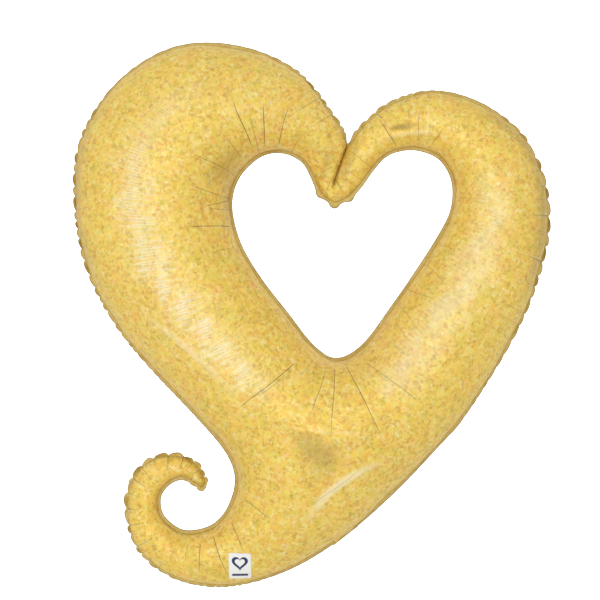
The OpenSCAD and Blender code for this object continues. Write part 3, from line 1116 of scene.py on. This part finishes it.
def neck_place(ply):
    """Maps (across, along, outwards) on a ply of the neck to x, y, z; ply is 1 outside the fold, -1
    inside and 0 for the middle."""

    def place(rows):
        u, v, w = rows.T
        opening = smooth(v, 0.45 * NECK_RUN, NECK_RUN)
        opening = opening * np.maximum(np.cos(np.pi * u / (NECK_WIDTH - 10 * MM)), 0)
        out = w + neck_wave(u, v) + ply * (0.25 * MM + 1.3 * MM * opening)
        turn = np.clip((v - STRAIGHT) / BEND, 0, math.pi / 2)
        on = np.maximum(v - STRAIGHT - BEND * math.pi / 2, 0)
        radius = BEND + out
        back = BEND - radius * np.cos(turn) + on
        down = np.minimum(v, STRAIGHT) + radius * np.sin(turn)
        return NECK_ROOT + u[:, None] * NECK_ALONG + back[:, None] * NECK_BACK - down[:, None] * NECK_IN

    return place


def bend_with_neck(piece):
    """Bakes a piece's placement into its mesh."""
    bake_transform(piece)


def neck_piece(name, node, outline, ply, half_thickness, material, holes=()):
    """A sheet of the neck, or of the valve's mouth inside it."""
    points, faces = flat_fill(densified(outline, NECK_PITCH), NECK_PITCH, holes)
    points, faces = thin_solid(points, faces, neck_place(ply), -half_thickness, half_thickness)
    piece = add_mesh(name, points, faces, material, None)
    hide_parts(node)
    bend_with_neck(piece)


def neck_outline(width, start, end):
    """The neck's outline from arc length start to end along its run."""
    v = np.linspace(start, end, 12)
    half = np.full(len(v), width / 2)
    return np.vstack([np.column_stack([half, v]), np.column_stack([-half, v])[::-1]])


def circle(x, y, radius, count=40):
    turn = np.linspace(0, 2 * np.pi, count, endpoint=False)
    return np.column_stack([x + radius * np.cos(turn), y + radius * np.sin(turn)])


MOUTH_START = 14 * MM  # past the fold, where the gold sheets would pinch the clear film
RIBBON_HOLE = circle(0, NECK_RUN - 9 * MM, 3 * MM)
for name, node, ply, end in (
    ("neck_outer_sheet", "neck_outer_ply", 1, NECK_RUN),
    ("neck_inner_sheet", "neck_inner_ply", -1, NECK_RUN - 0.6 * MM),
):
    outline = neck_outline(NECK_WIDTH - 9 * MM, 1.0 * MM, end)
    neck_piece(name, node, outline, ply, 0.06 * MM, NECK_GOLD, [RIBBON_HOLE])
MOUTH = neck_outline(28 * MM, MOUTH_START, NECK_RUN - 18 * MM)
neck_piece("mouth_outer_sheet", "mouth_outer_film", MOUTH, 0.4, 0.03 * MM, CLEAR)
neck_piece("mouth_inner_sheet", "mouth_inner_film", MOUTH, -0.4, 0.03 * MM, CLEAR)

# The upper half of a weld band's section: place across and half thickness, in millimetres.
BAND_SECTION = ((-1.0, 0.16), (0.6, 0.24), (2.0, 0.24), (3.4, 0.24), (4.8, 0.24), (5.4, 0.14))


def weld_band(name, node, side):
    """A heat-sealed edge of the neck, with the sealing jaw's fine ribs pressed across it."""
    v = np.arange(0.4 * MM, NECK_RUN, 0.45 * MM)
    rows = []
    for w, t in mirrored(BAND_SECTION):
        u = np.full(len(v), side * (NECK_WIDTH / 2 - 5.4 * MM + w * MM))
        u += side * (2.5 * MM * np.exp(-v / (5 * MM)) + 0.25 * MM * np.sin(v / (3.1 * MM)))
        rib = 0.09 * MM * np.sin(2 * np.pi * v / (1.8 * MM)) * (abs(t) > 0.2)
        rows.append(neck_place(0)(np.column_stack([u, v, t * MM + rib])))
    if side < 0:
        rows = rows[::-1]
    points, quads = swept(np.stack(rows, 1), False)
    section = len(rows)
    caps = [tuple(range(section))[::-1], tuple(range(len(points) - section, len(points)))]
    piece = add_mesh(name, points, [tuple(q) for q in quads.tolist()] + caps, SEAM_GOLD, None)
    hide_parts(node)
    bend_with_neck(piece)


weld_band("neck_left_band", "neck_left_weld", -1)
weld_band("neck_right_band", "neck_right_weld", 1)


# ---------------------------------------------------------------- the printed patch

front_points, front_faces = panels[FRONT]
front_tree = BVHTree.FromPolygons(front_points.tolist(), front_faces.tolist())
PATCH_CENTRE = np.array((-139.8, -532.8)) * MM
PATCH_SIZE = (33 * MM, 41 * MM)
GROUND = (0.10 * MM, 0.18 * MM)  # the white ink's underside and top over the film
MARK = (0.20 * MM, 0.26 * MM)  # the same for the dark ink printed on it


def on_front(rows):
    """Drops (x, z, lift) rows on to the front film, lifted along its normal."""
    out = []
    for x, z, lift in rows:
        spot, normal, _, _ = front_tree.ray_cast(Vector((x, -0.5, z)), Vector((0, 1, 0)))
        out.append(spot - normal * lift if normal.y > 0 else spot + normal * lift)
    return np.array(out)


def print_mark(name, outline, lift, ink_material, pitch, holes=()):
    """A layer of ink with the outline, laid on the front film."""
    points, faces = flat_fill(densified(outline, pitch), pitch, holes)
    points, faces = thin_solid(points, faces, on_front, *lift)
    piece = add_mesh(name, points, faces, ink_material, "envelope")


def heart_line(centre, size):
    """A plain symmetric heart, counter-clockwise."""
    t = np.linspace(0, 2 * np.pi, 72, endpoint=False)
    x = 16 * np.sin(t) ** 3
    z = 13 * np.cos(t) - 5 * np.cos(2 * t) - 2 * np.cos(3 * t) - np.cos(4 * t)
    return np.column_stack([x, z])[::-1] * size / 32 + centre


mark_centre = PATCH_CENTRE + np.array((0, 5.5)) * MM
bar_centre = PATCH_CENTRE - np.array((0, 14)) * MM
heart_hole = heart_line(mark_centre + np.array((0, 0.2)) * MM, 15 * MM)
print_mark("print_ground", rounded(*PATCH_SIZE, 2.2 * MM, PATCH_CENTRE), GROUND, WHITE_INK, 1.3 * MM)
print_mark("print_heart", heart_line(mark_centre, 24 * MM), MARK, NAVY_INK, 1.0 * MM, [heart_hole])
print_mark("print_bar", rounded(24 * MM, 3.6 * MM, 1.6 * MM, bar_centre), MARK, NAVY_INK, 1.0 * MM)

for name in ("throat_front_film", "throat_rear_film", "valve_front_film", "valve_rear_film",
             "valve_left_weld", "valve_right_weld"):
    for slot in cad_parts[name].material_slots:
        slot.material = CLEAR


# ---------------------------------------------------------------- studio, lights and camera


def studio_material():
    """Pale, faintly mottled paper."""
    n = Nodes("studio_paper")
    colour = n.ramp(n.noise(40.0), ((0.3, (246, 246, 246)), (0.7, (250, 250, 250))))
    n.feed(n.shader, Base_Color=colour, Roughness=0.9, Emission_Color=(1, 1, 1, 1), Emission_Strength=1.0)
    return n.material


def studio_room():
    """A pale floor that curves up all round into a pale wall and ceiling, wide enough for a camera to stand
    on any side of the balloon."""
    floor_z, half, curve = -3.0, 4.5, 1.2
    corner = [(math.cos(turn), math.sin(turn)) for turn in np.linspace(0, np.pi / 2, 14)]
    line = [(half - curve + curve * s, floor_z + curve * (1 - c)) for c, s in corner]
    line += [(x, -z) for x, z in reversed(line)]
    line = [(0.02, floor_z), *line, (0.02, -floor_z)]
    turns = np.linspace(0, 2 * np.pi, 64, endpoint=False)
    rows = np.array([[(x * math.cos(t), x * math.sin(t), z) for x, z in line] for t in turns])
    points, quads = swept(rows, True)
    seams = np.arange(len(quads)) % len(line) != len(line) - 1
    room = add_mesh("studio_room", points, quads[seams], studio_material(), None)
    room.visible_diffuse = room.visible_glossy = False
    room.visible_shadow = False


studio_room()
centre = Vector((-51.1 * MM, 0, -139.8 * MM))


def softbox(name, spot, size, power, seen=True):
    """An area light that faces the balloon's middle; seen says whether it shows in reflections."""
    data = bpy.data.lights.new(name, "AREA")
    data.shape, data.size, data.size_y, data.energy = "RECTANGLE", *size, power
    lamp = bpy.data.objects.new(name, data)
    lamp.location = spot
    lamp.visible_glossy = seen
    lamp.visible_camera = False
    lamp.rotation_euler = (centre - lamp.location).to_track_quat("-Z", "Y").to_euler()
    bpy.context.scene.collection.objects.link(lamp)


softbox("key", (-0.85, -3.2, 0.62), (0.5, 1.1), 5)
softbox("front", (-0.2, -3.6, -0.1), (3.0, 3.0), 29)
softbox("left", (-2.6, -1.6, 0.0), (0.8, 1.8), 4)
softbox("rear", (0.6, 2.6, 0.9), (2.2, 2.2), 26, seen=False)

world = bpy.data.worlds.new("studio_air")
world.use_nodes = True
world.node_tree.nodes["Background"].inputs["Color"].default_value = (0.745, 0.735, 0.69, 1)
world.node_tree.nodes["Background"].inputs["Strength"].default_value = 1.0
scene = bpy.context.scene
scene.world = world
scene.view_settings.view_transform = "Standard"

VIEW_WIDTH = 902 * MM
lens = bpy.data.cameras.new("camera")
lens.lens, lens.sensor_width = 100, 36
camera = bpy.data.objects.new("camera", lens)
camera.location = centre + Vector((0, -VIEW_WIDTH * lens.lens / lens.sensor_width, 0))
camera.rotation_euler = (math.pi / 2, 0, 0)
scene.collection.objects.link(camera)
scene.camera = camera
